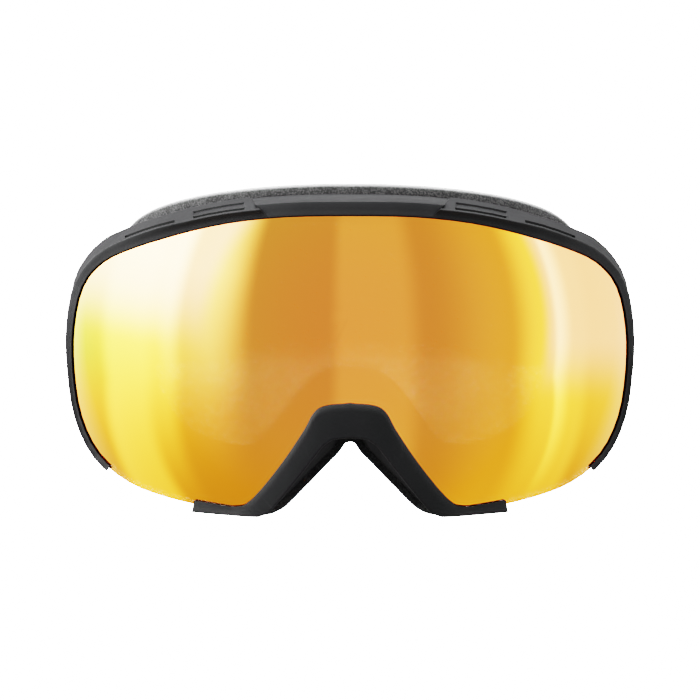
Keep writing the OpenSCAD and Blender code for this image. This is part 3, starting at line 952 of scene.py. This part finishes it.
def vent(pad, outer, inner):
    """A cutter through the wall round a filter's points: between rows (edge, station, xyz)."""
    depths = np.linspace(0, 1, VENT_ROWS + 1)
    middle = (outer + inner) / 2
    grid = middle[0] + (middle[1] - middle[0]) * depths[:, None, None]
    near = np.linalg.norm(grid[None] - pad[:, None, None], axis=3).reshape(len(pad), -1).argmin(1)
    depth, station = np.unravel_index(near, grid.shape[:2])
    along = distances(middle.mean(0))
    first, last = along[station.min()] - VENT_ROOM, along[station.max()] + VENT_ROOM
    width = np.linalg.norm(middle[1] - middle[0], axis=1).mean()
    low, high = depths[depth.min()] - VENT_ROOM / width, depths[depth.max()] + VENT_ROOM / width
    wanted = np.linspace(first, last, VENT_ROWS)
    edge = np.clip(np.minimum(wanted - first, last - wanted) / VENT_CORNER, 0, 1)
    inset = (1 - np.sqrt(1 - (1 - edge) ** 2)) * VENT_CORNER / width

    def at(rows, share):
        return rows[0] + (rows[1] - rows[0]) * share[:, None]

    outer, inner = resampled(outer, along, wanted), resampled(inner, along, wanted)
    out = outer.mean(0) - inner.mean(0)
    out *= VENT_REACH / np.linalg.norm(out, axis=1)[:, None]
    near, far = low + inset, high - inset
    return loft("vent", np.array([at(outer, near) + out, at(outer, far) + out,
                                  at(inner, far) - out, at(inner, near) - out]))


def cut(piece, cutter):
    """Takes one mesh out of another, and leaves the cut edges sharp."""
    taken = piece.modifiers.new("cut", "BOOLEAN")
    taken.operation = "DIFFERENCE"
    taken.solver = "EXACT"
    taken.object = cutter
    shown = piece.evaluated_get(bpy.context.evaluated_depsgraph_get())
    piece.data = bpy.data.meshes.new_from_object(shown)
    piece.modifiers.remove(taken)
    bpy.data.objects.remove(cutter)
    piece.data.set_sharp_from_angle(angle=math.radians(SHARP))


def chassis():
    """The frame behind the rim: a bent wall round the lens, a flange for the foam, and vents."""
    out = lens_ring - lens_normals * WALL_OUT
    inn = lens_ring - lens_normals * WALL_IN
    edge = foam_ring - foam_normals * OVERHANG
    in_edge = edge * (1 - INNER_SHARE) + eye_ring * INNER_SHARE

    def flange(place):
        return face_y(place) - FOAM_T - GLUE

    corners = np.array([
        on_ball(out, SEAT_R), in_space(out, edge_y + BEND_DEPTH),
        in_space(edge, flange(edge) - EDGE_T), in_space(edge, flange(edge)),
        in_space(eye_ring, flange(eye_ring)), in_space(eye_ring, flange(eye_ring) - FLANGE_T),
        in_space(in_edge, flange(in_edge) - FLANGE_T),
        in_space(inn, edge_y + BEND_DEPTH + INNER_BEND), on_ball(inn, SEAT_R)])
    section = rounded(corners, CHASSIS_RADII, CHASSIS_STEPS)
    section = filled(section, 2 * CHASSIS_STEPS - 1, WALL_ROWS)
    piece = loft("chassis_shell", section, closed=True)
    outer = np.array([corners[1], corners[2]])
    inner = np.array([corners[7], corners[6]])
    for node in FILTERS:
        cut(piece, vent(vertices(node), outer, inner))
    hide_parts("frame_chassis")
    return finished(piece, FRAME, "frame")


chassis()

for node in FILTERS:
    pad = cad_copy(f"{node}_pad", node, 0.2 * MM, 2, 60)
    finished(pad, MESH_FOAM, "frame")

# ---------------- face seal

SEAL_ROWS = 9
SEAL_INSET = 0.25 * MM  # the sides start this far inside the CAD foam's
SEAL_EDGE = 0.3 * MM  # radius of a layer's front edges
SEAL_FRONT_ROWS, SEAL_BACK_ROWS = 10, 14
eye_normals = ring_normals(eye_ring)


def seal(name, node, near, far, bulge, material, roll, lumps):
    """One layer of the face foam, between two depths before the face. Its sides swell by bulge,
    its rear edges are rounded by roll, and lumps is the height and size of its uneven surface."""
    across = np.linspace(0, 1, SEAL_ROWS)
    outer, inner = [], []
    for t in across:
        swell = bulge * math.sin(math.pi * t) ** 0.7
        place = foam_ring + foam_normals * (swell - SEAL_INSET)
        outer.append(in_space(place, face_y(foam_ring) - near - (far - near) * t))
        place = eye_ring - eye_normals * (swell - SEAL_INSET)
        inner.append(in_space(place, face_y(eye_ring) - near - (far - near) * t))
    section = np.array(outer + inner[::-1])
    corners = {0: roll, SEAL_ROWS - 1: SEAL_EDGE, SEAL_ROWS: SEAL_EDGE, len(section) - 1: roll}
    radii = [corners.get(i, 0.05 * MM) for i in range(len(section))]
    section = rounded(section, radii, 3)
    section = filled(section, SEAL_ROWS * 3 - 1, SEAL_FRONT_ROWS)
    section = filled(section, len(section) - 1, SEAL_BACK_ROWS)
    piece = loft(name, section, closed=True, sharp=SHARP_SOFT)
    texture = bpy.data.textures.new(name + "_lumps", "CLOUDS")
    raised = piece.modifiers.new("lumps", "DISPLACE")
    raised.strength, texture.noise_scale = lumps
    texture.noise_depth = 2
    raised.texture = texture
    raised.texture_coords = "LOCAL"
    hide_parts(node)
    finished(piece, material, "frame")


seal("firm_foam_ring", "firm_face_foam", SOFT_FAR, FOAM_T, 0.3 * MM, FIRM_FOAM,
     0.3 * MM, (0.15 * MM, 2.0 * MM))
seal("soft_foam_ring", "soft_face_foam", FLEECE_FAR, SOFT_FAR, 0.6 * MM, SOFT_FOAM,
     0.3 * MM, (0.15 * MM, 1.2 * MM))
seal("fleece_ring", "fleece_lining", 0, FLEECE_FAR, 0.5 * MM, FLEECE,
     1.4 * MM, (0.25 * MM, 0.9 * MM))

# ---------------- hinges, arms and adjusters

for side in ("left", "right"):
    for part, bevel, material, slot, body in (
            ("hinge_bracket", 0.35, FRAME, "frame_plastic", "frame"),
            ("hinge_pin", 0.25, STEEL, "pin_steel", "frame"),
            ("strap_arm", 0.5, ARM, "arm_plastic", f"{side}_arm"),
            ("adjuster", 0.45, ARM, "arm_plastic", f"{side}_slider")):
        node = f"{side}_{part}"
        finished(cad_copy(f"{node}_body", node, bevel * MM), material, body)

# ---------------- strap

EDGE_LINE, EDGE_W = 0.12 * MM, 0.45 * MM  # places of the webbing's rounded edge
EDGE_THINS = [0.55, 0.25, 0.06]  # shares of the thickness that each face loses there
FLAT_LINES = 9


def band(name, path):
    """Webbing whose outer face follows a path seen from above, with UVs in metres."""
    inward = left_of(path)
    if (inward * (path.mean(0) - path)).sum() < 0:
        inward = -inward
    along = distances(path)
    half = STRAP_W / 2
    across = np.concatenate([[-half, -half + EDGE_LINE, -half + EDGE_W],
                             np.linspace(-half + 2 * EDGE_W, half - 2 * EDGE_W, FLAT_LINES),
                             [half - EDGE_W, half - EDGE_LINE, half]])
    thin = np.concatenate([EDGE_THINS, np.zeros(FLAT_LINES), EDGE_THINS[::-1]]) * STRAP_T
    profile = list(zip(across, thin))
    profile += [(z, STRAP_T - t) for z, t in profile[-2:0:-1]]
    m = len(profile)
    points = [(p[0] + q[0] * t, p[1] + q[1] * t, z)
              for p, q in zip(path, inward) for z, t in profile]
    faces = capped_tube(len(path), m)
    uvs = [(profile[v % m][0], along[v // m]) for face in faces for v in face]
    mesh = bpy.data.meshes.new(name)
    mesh.from_pydata(points, [], faces)
    layer = mesh.uv_layers.new(name="strap")
    layer.data.foreach_set("uv", np.array(uvs).ravel())
    with edited(mesh) as bm:
        bmesh.ops.recalc_face_normals(bm, faces=bm.faces)
        bmesh.ops.triangulate(bm, faces=[f for f in bm.faces if len(f.verts) > 4],
                              ngon_method="EAR_CLIP")
    mesh.shade_smooth()
    mesh.set_sharp_from_angle(angle=math.radians(SHARP_SOFT))
    return placed(name, mesh), along[-1]


def arc(centre, radius, start, end, count=28):
    """Points of an arc between two angles in degrees."""
    a = np.radians(np.linspace(start, end, count))
    return np.column_stack([centre[0] + radius * np.cos(a), centre[1] + radius * np.sin(a)])


rear_low, rear_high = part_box("rear_strap")
side_low, side_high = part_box("left_strap")
tail_low, tail_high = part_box("left_strap_tail")
loop_low, loop_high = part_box("left_strap_loop")
STRAP_W = side_high.z - side_low.z
STRAP_T = tail_high.x - tail_low.x
turn_r = (side_high.x - side_low.x) / 2  # of the strap round the arm's bar
bar_x = (side_high.x + side_low.x) / 2
bar_y = side_low.y + turn_r
back_y0 = rear_low.y  # the strap's back is half an ellipse
back_x, back_depth = rear_high.x, rear_high.y - rear_low.y


def back_curve(from_degrees, inset, count):
    """The back's left half seen from above, inset from its outer face."""
    a = np.radians(np.linspace(from_degrees, 90, count))
    return np.column_stack([(back_x - inset) * np.cos(a),
                            back_y0 + (back_depth - inset) * np.sin(a)])


def eased(piece):
    """Bakes a piece of the strap's back into place, with its transform in its mesh."""
    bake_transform(piece)


def strap_half(side, sign):
    """Half of the strap: round its arm's bar, back along the side, and round to the middle."""
    turn = arc((bar_x, bar_y), turn_r, 180, 360)
    run = np.column_stack([np.full(40, bar_x + turn_r), np.linspace(bar_y, back_y0, 40)])
    path = np.vstack([turn, run[1:], back_curve(0, 0, 120)[1:]]) * [sign, 1]
    piece, length = band(f"{side}_strap_half", path)
    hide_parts(f"{side}_strap", "rear_strap")
    finished(piece, WEBBING)
    eased(piece)


def strap_tail(side, sign):
    """The strap's end between its arm and its adjuster, riding on the arm."""
    path = np.column_stack([np.full(30, tail_low.x), np.linspace(tail_low.y, tail_high.y, 30)])
    piece, length = band(f"{side}_tail", path * [sign, 1])
    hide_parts(f"{side}_strap_tail")
    finished(piece, WEBBING, f"{side}_arm")
    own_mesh(piece)


def strap_loop(side, sign):
    """The strap's end sewn round its adjuster's middle bar."""
    radius = (loop_high.x - loop_low.x) / 2
    centre = ((loop_high.x + loop_low.x) / 2, loop_high.y - radius)
    turn = arc(centre, radius, 180, 0)
    end = np.column_stack([np.full(12, loop_high.x), np.linspace(centre[1], loop_low.y, 12)])
    path = np.vstack([turn, end[1:]]) * [sign, 1]
    piece, length = band(f"{side}_loop", path)
    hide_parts(f"{side}_strap_loop")
    finished(piece, WEBBING, f"{side}_slider")
    stitches(side, sign, centre[1])


STITCH_PITCH, STITCH_LENGTH = 2.4 * MM, 1.7 * MM
STITCH_RISE, STITCH_SUNK = 0.28 * MM, 0.12 * MM
STITCH_HALF_T, STITCH_HALF_W = 0.16 * MM, 0.2 * MM
STITCH_MARGIN = 3 * MM  # from the strap's edges
STITCH_ROWS = 9 * MM, 5 * MM  # in front of the adjuster's bar
STEPS = 6  # along a stitch, and round its thread


def stitches(side, sign, y):
    """Two rows of stitches that sew the strap's end into a loop round a bar at y."""
    points, faces = [], []
    half = STRAP_W / 2 - STITCH_MARGIN
    for row in [y - before for before in STITCH_ROWS]:
        for z in np.arange(-half, half, STITCH_PITCH):
            faces += capped_tube(STEPS + 1, STEPS, len(points))
            for step in range(STEPS + 1):
                x = loop_high.x - STITCH_SUNK + STITCH_RISE * math.sin(math.pi * step / STEPS)
                for k in range(STEPS):
                    turn = 2 * math.pi * k / STEPS
                    points.append((sign * (x + STITCH_HALF_T * math.cos(turn)),
                                   row + STITCH_HALF_W * math.sin(turn),
                                   z + STITCH_LENGTH * step / STEPS))
    piece = mesh_object(f"{side}_loop_stitches", points, faces, SHARP_SOFT)
    finished(piece, THREAD, f"{side}_slider")


BEAD_T, BEAD_HALF_W = 0.6 * MM, 1.5 * MM
BEAD_ROOM = 0.1 * MM  # between the strap and the beads
BEAD_HEIGHTS = -12 * MM, 0, 12 * MM


def grip_lines(side, sign):
    """Half-round silicone beads along the inside of the strap's back."""
    low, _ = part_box("silicone_grip")
    first = math.degrees(math.asin((low.y - back_y0) / (back_depth - STRAP_T)))
    path = back_curve(first, STRAP_T + BEAD_ROOM, 90)
    inward = left_of(path)
    half_turns = np.linspace(0, math.pi, 9)
    points, faces = [], []
    for z in BEAD_HEIGHTS:
        faces += capped_tube(len(path), len(half_turns), len(points))
        for p, q in zip(path, inward):
            for a in half_turns:
                reach = BEAD_T * math.sin(a)
                points.append((sign * (p[0] + q[0] * reach), p[1] + q[1] * reach,
                               z + BEAD_HALF_W * math.cos(a)))
    piece = mesh_object(f"{side}_grip_lines", points, faces, SHARP_SOFT)
    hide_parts("silicone_grip")
    finished(piece, SILICONE)
    eased(piece)


for side, sign in (("left", 1), ("right", -1)):
    strap_half(side, sign)
    strap_tail(side, sign)
    strap_loop(side, sign)
    grip_lines(side, sign)

# ---------------- stage, light and camera

TARGET = Vector((0, -40 * MM, 0))
VIEW_DISTANCE = 1.2
VIEW_ELEVATION = math.radians(4)
FOCAL_LENGTH = 200.4  # millimetres, on a sensor 36 mm wide
FLOOR_DROP, FLOOR_HALF = 80 * MM, 12
WHITE = 16.0  # light level that the camera shows as pure white
GENERAL = 0.68  # the studio's light between the softboxes
# Softboxes round the goggles: edges as angles from the camera's side to its right, how softly
# each edge fades, strength, and the heights between which it comes up, with its steepness.
SOFTBOXES = [
    (-5, 22, 6, 9, 0.25, -2.0, -1.0, 1), (42, 116, 28, 8, 0.32, -2.0, -1.0, 1),
    (64, 90, 14, 8, 1.7, -0.85, -0.2, 1), (90, 116, 8, 8, 1.5, -0.55, -0.05, 1),
    (76, 80, 3, 8, 2.6, -0.7, -0.3, 1),
    (-120, -42, 8, 18, 3.9, -0.85, 0.35, 1.9), (-94, -63, 8, 8, 7.0, -0.85, 0.35, 1.9),
    (-120, -94, 8, 8, 7.0, -0.85, 0.35, 4), (-96, -74, 8, 8, 1.0, -2.0, -1.0, 1)]
SPREAD, SPREAD_FROM = 0.33, -0.2  # how far the boxes lean out, and below which height
TOP_EDGE = 0.62, 0.8  # heights between which the softboxes end


def floor():
    """Pale floor below the goggles. The mirror lens reflects the studio's light, not the floor."""
    corners = [(-1, -1), (1, -1), (1, 1), (-1, 1)]
    mesh = bpy.data.meshes.new("floor")
    mesh.from_pydata([(x * FLOOR_HALF, y * FLOOR_HALF, cad_low.z - FLOOR_DROP)
                      for x, y in corners], [], [(0, 1, 2, 3)])
    plane = placed("floor", mesh)
    plane.visible_glossy = False
    plane.visible_diffuse = False
    s = Shader("floor", Roughness=0.9, Specular_IOR_Level=0.1, Emission_Color=(1, 1, 1, 1),
               Emission_Strength=WHITE)
    s.set(Base_Color=s.mix(s.noise(3, 3.0), (0.86, 0.86, 0.86, 1), (0.9, 0.9, 0.9, 1)))
    mesh.materials.append(s.material)


def world():
    """The studio's soft light, which the camera itself sees as plain white."""
    made = bpy.data.worlds.new("studio")
    bpy.context.scene.world = made
    made.use_nodes = True
    s = Nodes(made.node_tree)
    s.tree.nodes.clear()
    along = s.node("SeparateXYZ", {0: s.node("TexCoord").outputs["Generated"]})
    x, y, z = (along.outputs[i] for i in range(3))
    turn = s.maths("DEGREES", s.maths("ARCTAN2", x, s.times(y, -1.0)))
    spread = s.remap(z, -1.0, SPREAD_FROM, 1 + SPREAD * (1 + SPREAD_FROM), 1.0)
    turn = s.maths("DIVIDE", turn, spread)
    below_top = s.remap(z, *TOP_EDGE, 1.0, 0.0, smooth=True)
    light = GENERAL
    for low, high, soft_low, soft_high, strength, bottom, full, steepness in SOFTBOXES:
        rise = s.remap(turn, low - soft_low / 2, low + soft_low / 2, smooth=True)
        fall = s.remap(turn, high - soft_high / 2, high + soft_high / 2, 1.0, 0.0, smooth=True)
        height = s.maths("POWER", s.remap(z, bottom, full), steepness)
        box = s.times(s.times(rise, fall), height)
        box = s.times(s.times(box, below_top), strength)
        light = s.add(box, light)
    seen = s.node("LightPath").outputs["Is Camera Ray"]
    shown = s.mix(seen, light, (WHITE, WHITE, WHITE, 1))
    background = s.node("Background", {"Color": shown})
    s.node("OutputWorld", {"Surface": background.outputs[0]})


def panel(name, elevation, distance, width, height, radiance):
    """A soft panel over the camera's side of the goggles, facing them."""
    light = bpy.data.lights.new(name, "AREA")
    light.shape = "RECTANGLE"
    light.size = width
    light.size_y = height
    light.energy = radiance * math.pi * width * height
    aimed(placed(name, light), distance, math.radians(elevation))


def aimed(thing, distance, elevation):
    """Puts a light or camera before the goggles and turns it to them."""
    thing.location = TARGET + distance * Vector((0, -math.cos(elevation), math.sin(elevation)))
    thing.rotation_euler = (TARGET - thing.location).to_track_quat("-Z", "Y").to_euler()


def camera():
    """The camera at the photograph's view."""
    data = bpy.data.cameras.new("camera")
    data.lens = FOCAL_LENGTH
    data.sensor_width = 36
    data.clip_start = 0.05
    data.clip_end = 60
    view = placed("camera", data)
    aimed(view, VIEW_DISTANCE, VIEW_ELEVATION)
    bpy.context.scene.camera = view


floor()
world()
camera()
panel("top softbox", elevation=78, distance=1.3, width=1.3, height=0.9, radiance=15)
bpy.context.scene.view_settings.view_transform = "Filmic"
bpy.context.scene.view_settings.look = "Very High Contrast"
